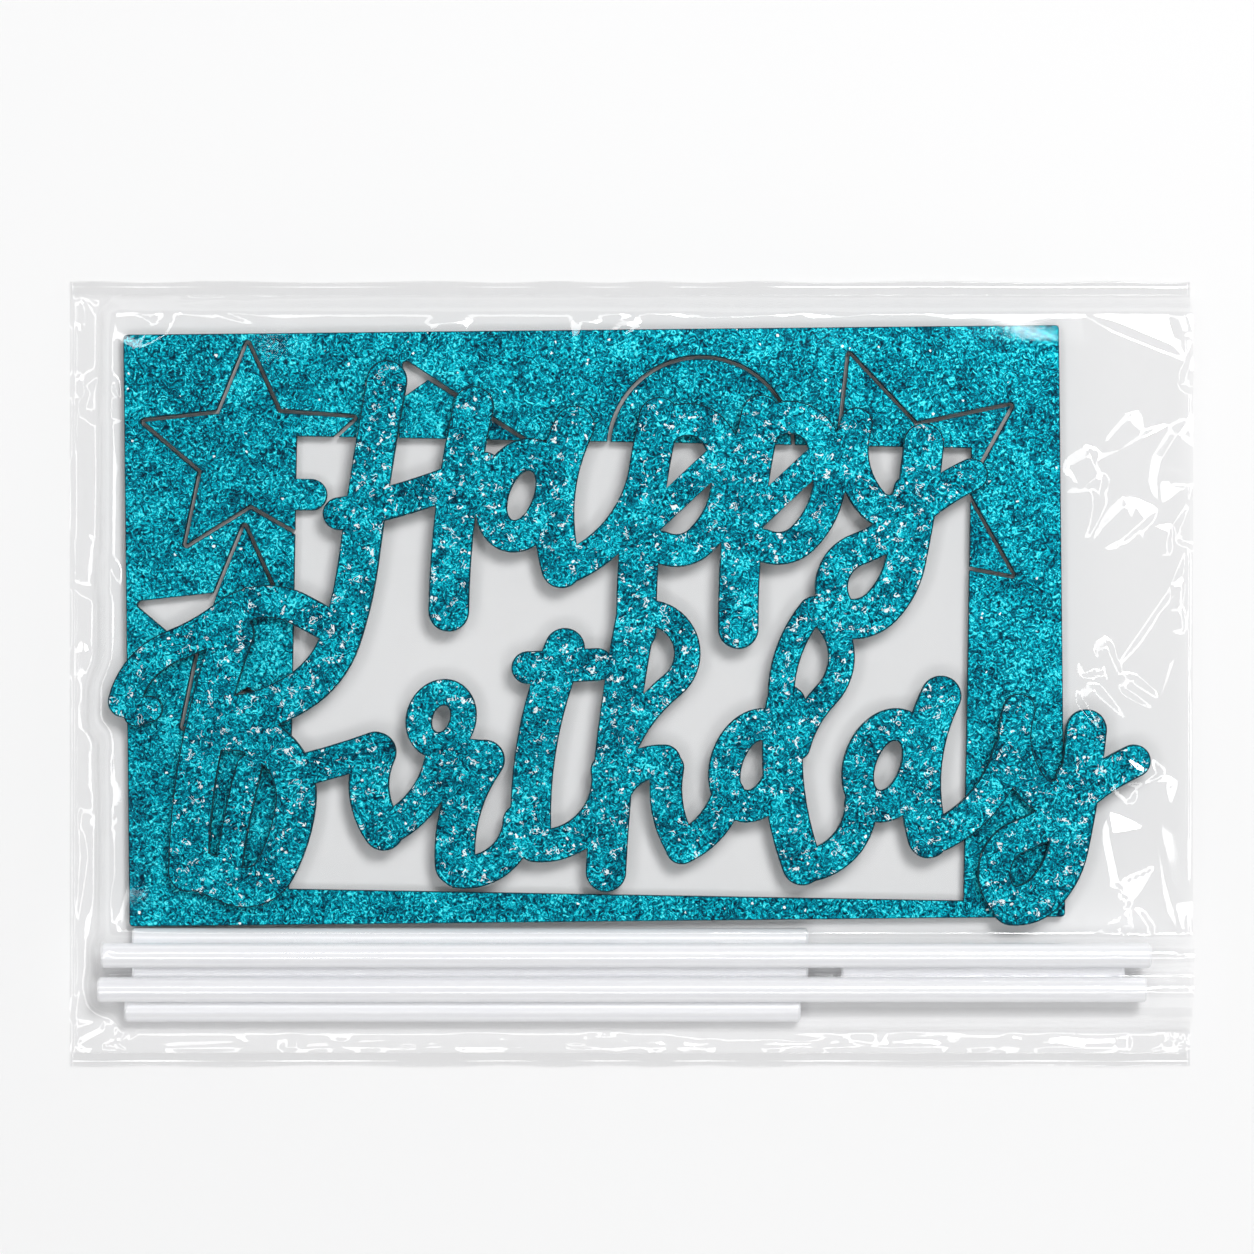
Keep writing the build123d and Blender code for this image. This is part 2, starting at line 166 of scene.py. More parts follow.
def foam_face(name, dark, light):
    """Closed-cell foam: matte, with fine cells that are darker towards their pits, as painted shade."""
    material, tree, shader = new_material(name)
    shader.inputs["Roughness"].default_value = 0.8
    shader.inputs["Specular IOR Level"].default_value = 0.2
    place = tree.nodes.new("ShaderNodeTexCoord")
    cells = tree.nodes.new("ShaderNodeTexVoronoi")
    cells.inputs["Scale"].default_value = foam_scale
    tone = tree.nodes.new("ShaderNodeValToRGB")
    tone.color_ramp.elements[0].color = dark
    tone.color_ramp.elements[1].color = light
    normal = relief(tree, cells.outputs["Distance"], foam_relief, foam_depth)
    tree.links.new(place.outputs["Object"], cells.inputs["Vector"])
    tree.links.new(cells.outputs["Distance"], tone.inputs["Fac"])
    tree.links.new(tone.outputs["Color"], shader.inputs["Base Color"])
    tree.links.new(normal, shader.inputs["Normal"])
    return material


foam = foam_face("teal_foam", *foam_painted_shade_tones)
rim_painted_shade_foam = foam_face("teal_foam_painted_shade_rim", *rim_painted_shade_tones)

# The glitter runs from near-black teal to bright cyan. Besides the real drift of the coat, the darkest
# tones are painted shade of flakes turned from the light and the brightest are painted glint of flakes
# that catch it.
glitter_shade_and_glint_tones = [
    (0.33, (0.0, 0.018, 0.038, 1)),
    (0.43, (0.0, 0.080, 0.125, 1)),
    (0.51, (0.0, 0.175, 0.255, 1)),
    (0.57, (0.0, 0.330, 0.440, 1)),
    (0.63, (0.0, 0.620, 0.740, 1)),
    (0.75, (0.12, 0.900, 0.950, 1)),
]
glitter_relief, glitter_depth = 0.55, 0.12 * mm
curl_scale, curl_roughness, curl_twist = 1150, 0.6, 2.4
drift_scale, drift_range = 210, 0.26
flake_scale, flake_range = 3100, 0.14
# White painted glints, on single flakes and along short strands.
glint_white = (0.88, 0.97, 0.98, 1)
strand_scale, strand_twist = 830, 1.6
strand_middle, strand_width, strand_glint_strength = 0.5, 0.034, 0.82
patch_scale = 690


def noise(tree, place, scale, detail, roughness=0.5, twist=0.0):
    """A cloudy pattern on a piece, with values from 0 to 1 that are mostly near a half."""
    node = tree.nodes.new("ShaderNodeTexNoise")
    node.inputs["Scale"].default_value = scale
    node.inputs["Detail"].default_value = detail
    node.inputs["Roughness"].default_value = roughness
    node.inputs["Distortion"].default_value = twist
    tree.links.new(place, node.inputs["Vector"])
    return node.outputs["Fac"]


def glitter_tone(tree, place, curls, flake, level):
    """The teal of each place, from its flake, the drift of the coat and the curl that it lies in, with
    painted shade and painted glint at the two ends of its tones.
    """
    drift = noise(tree, place, drift_scale, detail=2)
    drift_level = reckon(tree, "MULTIPLY_ADD", drift, drift_range, -drift_range / 2)
    flake_level = reckon(tree, "MULTIPLY_ADD", flake, flake_range, level - flake_range / 2)
    coat_level = reckon(tree, "ADD", flake_level, drift_level)
    tone = tree.nodes.new("ShaderNodeValToRGB")
    stops = tone.color_ramp.elements
    while len(stops) < len(glitter_shade_and_glint_tones):
        stops.new(0.5)
    for stop, (position, colour) in zip(stops, glitter_shade_and_glint_tones):
        stop.position = position
        stop.color = colour
    tree.links.new(reckon(tree, "ADD", coat_level, curls), tone.inputs["Fac"])
    return tone.outputs["Color"]


def painted_glints(tree, place, flake, glint_share, strand_floor):
    """How much painted glint each place gets: white on a share of the flakes, and on short strands where
    a noise tops the floor.
    """
    strands = noise(tree, place, strand_scale, detail=1, twist=strand_twist)
    patches = noise(tree, place, patch_scale, detail=1)
    on_strand = reckon(tree, "COMPARE", strands, strand_middle, strand_width)
    in_patch = reckon(tree, "GREATER_THAN", patches, strand_floor)
    strand = reckon(tree, "MULTIPLY", on_strand, in_patch)
    strand_glint = reckon(tree, "MULTIPLY", strand, strand_glint_strength)
    flake_glint = reckon(tree, "GREATER_THAN", flake, 1 - glint_share)
    return reckon(tree, "MAXIMUM", strand_glint, flake_glint)


def glitter_face(name, glint_share, level, strand_floor):
    """Fine foil flakes in a clear binder, brushed on in curls, with painted glints in white on single
    flakes and in strands.
    """
    material, tree, shader = new_material(name)
    shader.inputs["Metallic"].default_value = 0.35
    shader.inputs["Roughness"].default_value = 0.36
    shader.inputs["Specular IOR Level"].default_value = 0.03
    place = tree.nodes.new("ShaderNodeTexCoord").outputs["Object"]
    curls = noise(tree, place, curl_scale, detail=2, roughness=curl_roughness, twist=curl_twist)
    flakes = tree.nodes.new("ShaderNodeTexVoronoi")
    flakes.inputs["Scale"].default_value = flake_scale
    flake = tree.nodes.new("ShaderNodeSeparateColor")
    tree.links.new(place, flakes.inputs["Vector"])
    tree.links.new(flakes.outputs["Color"], flake.inputs["Color"])
    tone = glitter_tone(tree, place, curls, flake.outputs["Blue"], level)
    glint = painted_glints(tree, place, flake.outputs["Green"], glint_share, strand_floor)
    mix = tree.nodes.new("ShaderNodeMix")
    mix.data_type = "RGBA"
    mix.inputs["B"].default_value = glint_white
    tree.links.new(glint, mix.inputs["Factor"])
    tree.links.new(tone, mix.inputs["A"])
    tree.links.new(mix.outputs["Result"], shader.inputs["Base Color"])
    normal = relief(tree, curls, glitter_relief, glitter_depth)
    tree.links.new(normal, shader.inputs["Normal"])
    return material


level_normal, level_step = 0.9, 0.01 * mm
corner_digits = 4


def face_loops(node):
    """The outlines of a node's upper face, each a closed row of points with the face on its left."""
    mesh = node.data
    top = max(vertex.co.z for vertex in mesh.vertices)
    after = {}
    for polygon in mesh.polygons:
        corners = [mesh.vertices[i].co for i in polygon.vertices]
        lowest = min(corner.z for corner in corners)
        if polygon.normal.z < level_normal or lowest < top - level_step:
            continue
        keys = [(round(c.x / mm, corner_digits), round(c.y / mm, corner_digits)) for c in corners]
        for start, end in zip(keys, keys[1:] + keys[:1]):
            if start in after.get(end, ()):
                after[end].remove(start)
            else:
                after.setdefault(start, []).append(end)
    loops = []
    while any(after.values()):
        start = next(key for key, ends in after.items() if ends)
        loop, here = [], start
        while after.get(here):
            loop.append(here)
            here = after[here].pop()
        loops.append(np.array(loop) * mm)
    return loops, top


rim_proud, rim_depth, rim_shoulder = 0.012 * mm, 0.24 * mm, 0.03 * mm
rim_crest, rim_rise, rim_tuck = 0.04 * mm, 0.02 * mm, 0.01 * mm


def painted_shade_rim(name, node, body, width):
    """A thin rim round a face, of foam squeezed up over the edge of the glitter, in a darker foam:
    painted shade along the cut edge.
    """
    loops, top = face_loops(node)
    rings = [
        (-rim_proud, -rim_depth),
        (-rim_proud, -rim_shoulder),
        (rim_crest, rim_rise),
        (width, -rim_tuck),
    ]
    corners, faces = [], []
    for loop in loops:
        step = np.roll(loop, -1, axis=0) - loop
        step /= np.linalg.norm(step, axis=1)[:, None]
        inward = np.stack([-step[:, 1], step[:, 0]], axis=1)
        inward = inward + np.roll(inward, 1, axis=0)
        inward /= np.maximum(np.linalg.norm(inward, axis=1), 1)[:, None]
        base, count = len(corners), len(loop)
        for reach, rise in rings:
            corners += [(x, y, top + rise) for x, y in loop + reach * inward]
        for ring in range(len(rings) - 1):
            low, high = base + ring * count, base + (ring + 1) * count
            for i in range(count):
                j = (i + 1) % count
                faces.append((low + i, low + j, high + j, high + i))
    mesh = bpy.data.meshes.new(name)
    mesh.from_pydata(corners, [], faces)
    mesh.materials.append(rim_painted_shade_foam)
    rim = bpy.data.objects.new(name, mesh)
    bpy.context.collection.objects.link(rim)
    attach(rim, body)


def dress(node, material):
    """Give a node its finish."""
    node.data.materials.clear()
    node.data.materials.append(material)


carrier_rim = 0.15 * mm
# The carrier's glitter gets a few white painted glints on single flakes and no strands.
carrier_glints, carrier_level, no_strands = 0.0015, 0.015, 1
carrier_glitter = glitter_face("teal_glitter", carrier_glints, carrier_level, no_strands)
for name, node in nodes.items():
    if name.endswith("_backing"):
        dress(node, foam)
    if name.endswith("_glitter") and not name.startswith("greeting"):
        dress(node, carrier_glitter)
        painted_shade_rim(name.replace("_glitter", "_rim"), node, "carrier_sheet", carrier_rim)

# Greeting: both words cut in one piece from the same foam, lying loose on the carrier. Short white
# strands all over it are painted glints, and it has more of them than the carrier.
greeting_rim = 0.24 * mm
greeting_glints, greeting_level, greeting_floor = 0.002, 0.005, 0.605
greeting_face = glitter_face("teal_glitter_painted_glints", greeting_glints, greeting_level, greeting_floor)
greeting_node = nodes["greeting_glitter"]
dress(greeting_node, greeting_face)
painted_shade_rim("greeting_rim", greeting_node, "greeting", greeting_rim)

# Sticks: tightly rolled white paper with a smooth calendered skin, cut square at the ends.
# The skin is glossy, with faint fibres along the stick.
paper_white = (0.98, 0.985, 1.0, 1)
paper_shade = (0.945, 0.95, 0.98, 1)
fibre_scale = (60, 2400, 2400)

paper, paper_tree, paper_shader = new_material("white_paper")
paper_shader.inputs["Roughness"].default_value = 0.3
paper_shader.inputs["Coat Weight"].default_value = 0.4
paper_shader.inputs["Coat Roughness"].default_value = 0.12
paper_place = paper_tree.nodes.new("ShaderNodeTexCoord")
paper_stretch = paper_tree.nodes.new("ShaderNodeMapping")
paper_stretch.inputs["Scale"].default_value = fibre_scale
paper_tree.links.new(paper_place.outputs["Object"], paper_stretch.inputs["Vector"])
fibres = noise(paper_tree, paper_stretch.outputs["Vector"], scale=1, detail=4)
fibre_tone = paper_tree.nodes.new("ShaderNodeValToRGB")
fibre_tone.color_ramp.elements[0].position = 0.3
fibre_tone.color_ramp.elements[0].color = paper_shade
fibre_tone.color_ramp.elements[1].position = 0.6
fibre_tone.color_ramp.elements[1].color = paper_white
paper_tree.links.new(fibres, fibre_tone.inputs["Fac"])
paper_tree.links.new(fibre_tone.outputs["Color"], paper_shader.inputs["Base Color"])
for name, node in nodes.items():
    if "stick" in name:
        dress(node, paper)

# Bag, front half: the same film, lying slack over the sheets and the sticks. It keeps the creases
# of packing: straight folds, fans and small tents that stand up from where it rests.
front_gloss = 0.075
film_gap = 0.12 * mm
weld_height = 0.25 * mm
fold_height = 0.15 * mm
sheet_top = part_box("greeting_glitter")[1].z
carrier_lowest, carrier_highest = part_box("carrier_glitter")
carrier_margin, carrier_lower_margin = 2.65 * mm, 1.15 * mm
carrier_top = carrier_highest.z
carrier_left = carrier_lowest.x - carrier_margin
carrier_low = carrier_lowest.y - carrier_lower_margin
carrier_high = carrier_highest.y + carrier_margin
stick_rows = []
for name in ("long_stick_lower", "long_stick_upper", "short_stick_lower"):
    stick_low, stick_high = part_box(name)
    stick_middle = (stick_low + stick_high) / 2
    stick_rows.append((stick_low.x, stick_middle.y, stick_middle.z))
stick_radius = (stick_high.y - stick_low.y) / 2

# The film rests on what lies under it, and hangs between. Nothing that is drawn out to the right
# meets it, so each piece holds it up from its own left end to the mouth.
slack_cell = 0.5 * mm
slack_x = np.arange(-half_length, half_length + slack_cell / 2, slack_cell)
slack_y = np.linspace(-film_side, film_side, round(2 * film_side / slack_cell) + 1)
grid_x, grid_y = np.meshgrid(slack_x, slack_y, indexing="ij")
rest = np.full(grid_x.shape, fold_height)
on_carrier = (grid_x > carrier_left) & (grid_y > carrier_low) & (grid_y < carrier_high)
rest[on_carrier] = carrier_top + film_gap

# It stands off the sides of the letters by a reach that swings and flutters along the bag.
letter_end_reach, letter_side_reach = 2.0 * mm, 1.7 * mm
swing, swing_length = 0.6 * mm, 7 * mm
flutter, flutter_length = 0.3 * mm, 3.1 * mm
letters = get_points(greeting_node)
for place, strip in enumerate(slack_x):
    reach = letter_side_reach + swing * math.sin(strip / swing_length)
    reach += flutter * math.sin(strip / flutter_length)
    for index, line in enumerate(slack_y):
        near = np.abs(letters[:, 1] - line) < reach
        if near.any() and strip > letters[near, 0].min() - letter_end_reach:
            rest[place, index] = sheet_top + film_gap


def stick_rest(x, y):
    """How high the sticks hold the film at each place."""
    height = np.zeros(x.shape)
    reach = stick_radius + film_gap
    for start, line, middle in stick_rows:
        rise = np.sqrt(np.maximum(reach ** 2 - (y - line) ** 2, 0))
        over = (np.abs(y - line) < reach) & (x > start - film_gap)
        height = np.where(over, np.maximum(height, middle + rise), height)
    return height


# Over the carrier the film comes down from the greeting no faster than this lean.
slack_lean, lean_rounds = 0.085, 90
around = ((0, 1), (2, 1), (1, 0), (1, 2), (0, 0), (0, 2), (2, 0), (2, 2))
held = rest.copy()
for _ in range(lean_rounds):
    wide = np.pad(held, 1, mode="edge")
    for i, j in around:
        fall = slack_lean * slack_cell * math.hypot(i - 1, j - 1)
        held = np.maximum(held, wide[i:i + held.shape[0], j:j + held.shape[1]] - fall)
rest = np.where(on_carrier, held, rest)
rest = np.maximum(rest, stick_rest(grid_x, grid_y))
slack = rest.copy()


def hold_edges(heights):
    """The welds and the fold hold the film down, and the mouth is free."""
    heights[:, 0] = heights[:, -1] = weld_height
    heights[0, :] = fold_height
    return heights


def neighbours(heights):
    """The mean of the four neighbours of each point."""
    mean = heights.copy()
    mean[1:-1, 1:-1] = (
        heights[:-2, 1:-1] + heights[2:, 1:-1] + heights[1:-1, :-2] + heights[1:-1, 2:]
    ) / 4
    mean[-1, 1:-1] = (2 * heights[-2, 1:-1] + heights[-1, :-2] + heights[-1, 2:]) / 4
    return mean


slack_rounds, smooth_rounds = 2500, 4
slack_sag, edge_sag = 0.00015 * mm, 0.14 * mm
sag = np.where(on_carrier, slack_sag, edge_sag)
for _ in range(slack_rounds):
    slack = hold_edges(np.maximum(neighbours(slack) - sag, rest))
for _ in range(smooth_rounds):
    slack = hold_edges((slack + neighbours(slack)) / 2)

end_margin = 0.001


def between(values, at):
    """The heights along the first axis at uneven places, read smoothly through the points."""
    at = np.clip(at, 0, len(values) - 1 - end_margin)
    i = at.astype(int)
    u = (at - i)[:, None]
    p = [values[np.clip(i + k, 0, len(values) - 1)] for k in (-1, 0, 1, 2)]
    return p[1] + u / 2 * (p[2] - p[0] + u * (
        2 * p[0] - 5 * p[1] + 4 * p[2] - p[3] + u * (3 * (p[1] - p[2]) + p[3] - p[0])
    ))


# The film's grid is finer along its edges, where most of the folds are.
film_columns, film_rows = 289, 321
fine_left, fine_right, fine_low, fine_high = 12 * mm, 20 * mm, 9 * mm, 8 * mm
column_shares, row_shares = [0, 0.2, 0.73, 1], [0, 0.12, 0.89, 1]
columns = np.interp(
    np.linspace(0, 1, film_columns),
    column_shares,
    [-half_length, -half_length + fine_left, half_length - fine_right, half_length],
)
rows = np.interp(
    np.linspace(0, 1, film_rows),
    row_shares,
    [-film_side, -film_side + fine_low, film_side - fine_high, film_side],
)
front_clear = clear_film("clear_film", front_gloss)
front_film, front_points, column, row = film_grid("front_film", front_clear, columns, rows)
film_x, film_y = front_points[:, 0], front_points[:, 1]
fine = between(slack, (columns - slack_x[0]) / (slack_x[1] - slack_x[0]))
fine = between(fine.T.copy(), (rows - slack_y[0]) / (slack_y[1] - slack_y[0])).T
film_z = fine[column, row]

fold_lean, fold_curve = 0.22, 1.3
fold_spread, fold_quiet = 1.75, 3.0
fold_soft = 0.16 * mm
fold_taper, taper_curve = 4, 0.7
# Each fold has the width of its bright flank, the side of its line that the flank is on, and its
# line, in millimetres.
folds = [
    (0.9, 1, [(65.2, 51.4), (69.1, 49.1), (74.9, 46.7), (80.9, 44.2)]),
    (1.3, -1, [(80.2, 53.4), (79.8, 51.3), (80.9, 47.8)]),
    (1.6, -1, [(78.6, 43.5), (80.6, 42.9), (80.1, 40.0)]),
    (0.7, 1, [(61.6, 27.1), (65.5, 29.7), (70.6, 32.0), (73.4, 33.7), (77.8, 36.0)]),
    (1.2, 1, [(61.9, 28.8), (64.8, 30.5), (67.4, 31.7)]),
    (0.7, 1, [(67.7, 32.0), (70.6, 35.4), (73.0, 37.7)]),
    (1.4, -1, [(80.9, 37.2), (78.5, 34.0), (76.3, 30.5), (75.7, 27.2), (76.0, 24.2)]),
    (1.2, 1, [(66.2, 18.3), (68.1, 21.0), (70.8, 23.6), (73.4, 24.8)]),
    (1.0, -1, [(67.0, 18.0), (70.6, 19.7), (73.4, 22.2), (75.7, 23.8)]),
    (1.3, 1, [(65.7, 28.2), (66.2, 24.3), (65.4, 19.3)]),
    (1.0, 1, [(64.8, 26.2), (67.0, 27.9), (68.7, 27.6)]),
    (0.7, 1, [(77.5, 21.6), (76.6, 18.6), (77.3, 16.4)]),
    (1.3, -1, [(77.8, 21.5), (79.9, 20.6), (78.9, 18.0)]),
    (0.7, 1, [(80.2, 20.7), (79.5, 17.9), (77.0, 12.1), (72.0, 4.9), (68.5, -0.1)]),
    (0.9, 1, [(68.5, -0.1), (67.0, 1.3), (64.1, -0.1)]),
    (1.2, 1, [(66.2, 2.6), (69.4, 4.0)]),
    (1.3, 1, [(64.1, -4.3), (66.2, -3.0), (67.4, -1.7)]),
    (0.7, -1, [(78.9, 4.2), (77.8, 0.3), (75.6, -6.3), (74.3, -8.5)]),
    (0.7, 1, [(77.0, 12.1), (78.6, 12.5), (79.8, 12.4)]),
    (0.7, 1, [(78.6, 9.9), (79.2, 5.6)]),
    (1.3, 1, [(70.8, -2.9), (72.6, -0.3)]),
    (0.9, 1, [(74.6, -12.0), (75.2, -14.1), (73.7, -15.3), (69.4, -15.4)]),
    (0.7, 1, [(72.0, -16.3), (78.5, -15.3)]),
    (0.7, -1, [(69.1, -15.6), (72.3, -18.4)]),
    (0.9, -1, [(74.2, -19.0), (75.2, -20.3), (76.3, -25.3), (77.2, -30.4), (79.2, -38.0)]),
    (1.3, -1, [(68.5, -19.6), (69.1, -23.9), (70.3, -29.7), (72.0, -32.5)]),
    (0.9, 1, [(69.4, -20.3), (70.8, -26.8), (72.0, -32.3)]),
    (0.7, 1, [(69.4, -30.4), (70.0, -32.5), (72.0, -33.3)]),
    (0.9, 1, [(68.8, -34.8), (69.7, -36.3), (72.0, -33.7)]),
    (0.7, 1, [(72.0, -33.3), (74.9, -37.6)]),
    (0.7, -1, [(79.5, -38.3), (78.8, -41.5), (79.3, -44.8)]),
    (0.6, 1, [(74.6, -51.1), (77.0, -52.4), (76.3, -53.4), (74.2, -54.3)]),
    (0.6, 1, [(76.3, -53.5), (78.9, -52.8)]),
    (0.6, 1, [(77.8, -51.3), (78.9, -52.0), (78.0, -52.7)]),
    (1.0, 1, [(57.3, -53.8), (61.9, -53.3), (64.8, -53.9), (67.4, -54.4)]),
    (0.6, 1, [(61.9, -53.3), (67.7, -53.4), (72.0, -53.0)]),
    (0.6, 1, [(69.7, -52.8), (72.3, -52.7)]),
    (0.7, -1, [(67.1, -45.2), (72.0, -45.9), (73.9, -51.2)]),
    (0.7, -1, [(4.3, -50.9), (7.5, -51.6), (18.7, -51.6), (30.5, -52.3)]),
    (1.5, -1, [(30.2, -52.2), (33.4, -52.7), (36.9, -53.3)]),
    (0.7, 1, [(29.2, -50.9), (33.1, -50.9)]),
    (1.0, 1, [(26.6, -53.7), (33.1, -53.3), (39.2, -54.0)]),
    (1.0, 1, [(36.0, -53.7), (40.6, -53.3), (46.1, -53.5)]),
    (0.7, 1, [(46.1, -53.5), (44.9, -54.2), (39.6, -54.2)]),
    (0.6, 1, [(37.4, -52.1), (44.6, -51.8)]),
    (0.7, 1, [(44.6, -52.2), (45.9, -51.7), (47.2, -52.8)]),
    (0.6, 1, [(46.8, -51.7), (51.6, -51.4), (54.7, -51.7)]),
    (0.7, -1, [(55.2, -51.6), (54.9, -52.7), (53.0, -53.9)]),
    (0.6, 1, [(47.5, -53.0), (51.1, -53.0)]),
    (0.7, 1, [(48.2, -54.2), (50.5, -53.2), (52.7, -54.2)]),
    (0.6, 1, [(51.3, -52.7), (52.0, -54.2)]),
    (0.6, 1, [(1.4, -53.5), (5.5, -53.5)]),
    (0.6, 1, [(6.5, -53.7), (8.9, -53.3)]),
    (0.6, 1, [(10.1, -53.7), (13.0, -53.4)]),
    (0.6, 1, [(18.1, -53.8), (23.0, -53.6)]),
    (0.7, 1, [(-27.4, -52.8), (-21.6, -52.8), (-15.6, -53.2)]),
    (0.8, 1, [(-3.9, -52.4), (-3.5, -50.9)]),
    (0.6, 1, [(-6.9, -52.1), (-4.0, -52.0)]),
    (0.6, 1, [(-7.2, -53.1), (-3.7, -52.7), (1.2, -53.5)]),
    (0.6, 1, [(-41.5, -52.8), (-42.0, -52.0), (-41.5, -50.9)]),
    (0.6, -1, [(-41.3, -52.8), (-40.8, -52.0), (-41.3, -50.9)]),
    (1.1, 1, [(-50.1, -54.2), (-49.0, -53.4), (-47.7, -53.9)]),
    (0.6, 1, [(-47.8, -54.1), (-41.8, -53.6)]),
    (0.6, 1, [(-41.5, -53.5), (-32.8, -53.1)]),
    (0.7, 1, [(-56.2, -53.0), (-55.3, -52.0), (-53.9, -51.1)]),
    (0.6, 1, [(-69.1, -53.9), (-61.9, -53.6), (-53.3, -53.3)]),
    (0.6, 1, [(-80.4, -54.1), (-76.6, -52.1), (-74.2, -50.9)]),
    (0.6, 1, [(-76.3, -50.9), (-73.7, -50.9)]),
    (0.7, 1, [(-79.8, -50.9), (-79.2, -45.5)]),
    (0.7, 1, [(-72.0, -50.9), (-71.0, -51.8)]),
    (0.7, 1, [(-76.3, -53.8), (-74.2, -53.0), (-75.2, -54.3)]),
    (0.7, -1, [(-79.9, -20.0), (-78.3, -23.3), (-77.9, -26.2), (-78.6, -31.4), (-79.8, -37.7)]),
    (0.7, 1, [(-79.8, -20.2), (-76.3, -20.7)]),
    (0.7, 1, [(-76.0, -19.3), (-74.6, -20.3), (-73.3, -21.0)]),
    (0.9, 1, [(-73.9, -23.6), (-73.7, -28.5), (-74.9, -33.3), (-77.8, -39.2)]),
    (0.9, 1, [(-73.4, -35.7), (-75.5, -40.6)]),
    (0.7, 1, [(-75.6, -10.2), (-75.5, -17.7)]),
    (0.7, 1, [(-77.5, -3.7), (-77.2, -8.4)]),
    (0.7, 1, [(-78.8, 4.9), (-78.3, -1.7)]),
    (1.9, -1, [(-76.9, 10.5), (-75.9, 14.0), (-73.2, 15.8)]),
    (0.7, -1, [(-79.6, 34.4), (-79.5, 25.1), (-79.6, 16.1)]),
    (0.7, -1, [(-79.5, 55.3), (-76.6, 53.0), (-75.2, 51.7)]),
    (0.9, -1, [(-76.2, 52.6), (-75.7, 54.1), (-74.6, 54.4)]),
    (2.9, -1, [(-75.2, 54.6), (-72.0, 52.6), (-68.8, 50.8), (-66.1, 49.0)]),
    (0.7, 1, [(-79.2, 54.7), (-78.9, 49.2)]),
    (0.7, 1, [(-79.2, 43.5), (-79.5, 39.2)]),
    (0.9, 1, [(-78.9, 40.8), (-77.2, 42.3), (-76.2, 41.8)]),
    (0.7, 1, [(-78.8, 40.3), (-75.7, 39.7)]),
    (1.4, 1, [(-75.7, 39.7), (-74.9, 41.5), (-73.2, 42.0)]),
    (1.3, -1, [(-79.5, 38.9), (-76.9, 38.2), (-77.2, 35.9)]),
    (0.9, 1, [(-57.7, 53.9), (-57.5, 55.7)]),
    (1.2, 1, [(-58.3, 51.3), (-57.3, 53.9)]),
    (0.7, 1, [(-7.5, 54.0), (-4.0, 53.4)]),
    (0.9, 1, [(-3.6, 54.0), (-2.3, 52.3), (0.1, 51.3)]),
    (1.0, 1, [(-8.1, 50.7), (-4.0, 50.3)]),
    (1.0, 1, [(-0.9, 51.1), (0.4, 49.1)]),
    (0.7, 1, [(1.4, 51.3), (4.3, 53.0), (7.5, 53.9)]),
    (0.9, 1, [(10.1, 51.0), (18.7, 51.4), (24.8, 51.7)]),
    (0.7, 1, [(22.5, 52.1), (26.2, 52.4)]),
    (1.2, 1, [(29.5, 51.0), (34.6, 51.8), (41.8, 52.0), (46.9, 51.1)]),
    (0.9, 1, [(-28.8, 50.1), (-23.0, 50.5)]),
]


def fold_rise(width, side, line):
    """How far one fold lifts the film: a steep flank on one side, a long slack one on the other."""
    line = np.array(line) * mm
    flank = fold_spread * width * mm
    lengths = np.linalg.norm(np.diff(line, axis=0), axis=1)
    total, walked = lengths.sum(), 0.0
    best = np.full(len(film_x), math.inf)
    along = np.zeros(len(film_x))
    signed = np.zeros(len(film_x))
    for start, end, length in zip(line[:-1], line[1:], lengths):
        way = (end - start) / length
        s = np.clip((film_x - start[0]) * way[0] + (film_y - start[1]) * way[1], 0, length)
        dx, dy = film_x - start[0] - s * way[0], film_y - start[1] - s * way[1]
        distance = np.hypot(dx, dy)
        nearer = distance < best
        best = np.where(nearer, distance, best)
        along = np.where(nearer, (walked + s) / total, along)
        signed = np.where(nearer, np.sign(way[0] * dy - way[1] * dx), signed)
        walked += length
    swell = np.clip(np.minimum(along, 1 - along) * fold_taper, 0, 1) ** taper_curve
    reach = np.where(signed * side > 0, flank, fold_quiet * flank)
    away = np.sqrt(best ** 2 + fold_soft ** 2) - fold_soft
    return fold_lean * flank * np.clip(swell - away / reach, 0, 1) ** fold_curve


lift = np.zeros(len(film_x))
for width, side, line in folds:
    lift = np.maximum(lift, fold_rise(width, side, line))

# Small puckers run along the inside of both welds, where the film was pulled as it cooled.
pucker_lengths, pucker_gaps = (2.3 * mm, 5.98 * mm), (0.2 * mm, 2.5 * mm)
pucker_width, pucker_insets = 0.8 * mm, (0.72 * mm, 1.04 * mm)
pucker_heights = (0.044 * mm, 0.22 * mm)
random = np.random.default_rng(7)
for side in (-1, 1):
    start = -half_length
    while start < half_length:
        length = random.uniform(*pucker_lengths)
        line = side * (film_side - random.uniform(*pucker_insets))
        u = (film_x - start - length / 2) / (length / 2)
        v = (film_y - line) / (pucker_width / 2)
        bump = np.clip(1 - u ** 4, 0, 1) * np.clip(1 - v ** 2, 0, 1)
        lift = np.maximum(lift, random.uniform(*pucker_heights) * bump)
        start += length + random.uniform(*pucker_gaps)

# The folded end and the mouth each have a fine lip along the edge.
lip_height, lip_width, lip_inset = 0.13 * mm, 0.24 * mm, 0.75 * mm
for edge in (-half_length + lip_inset, half_length - lip_inset):
    lift = np.maximum(lift, lip_height * np.exp(-((film_x - edge) / lip_width) ** 2))

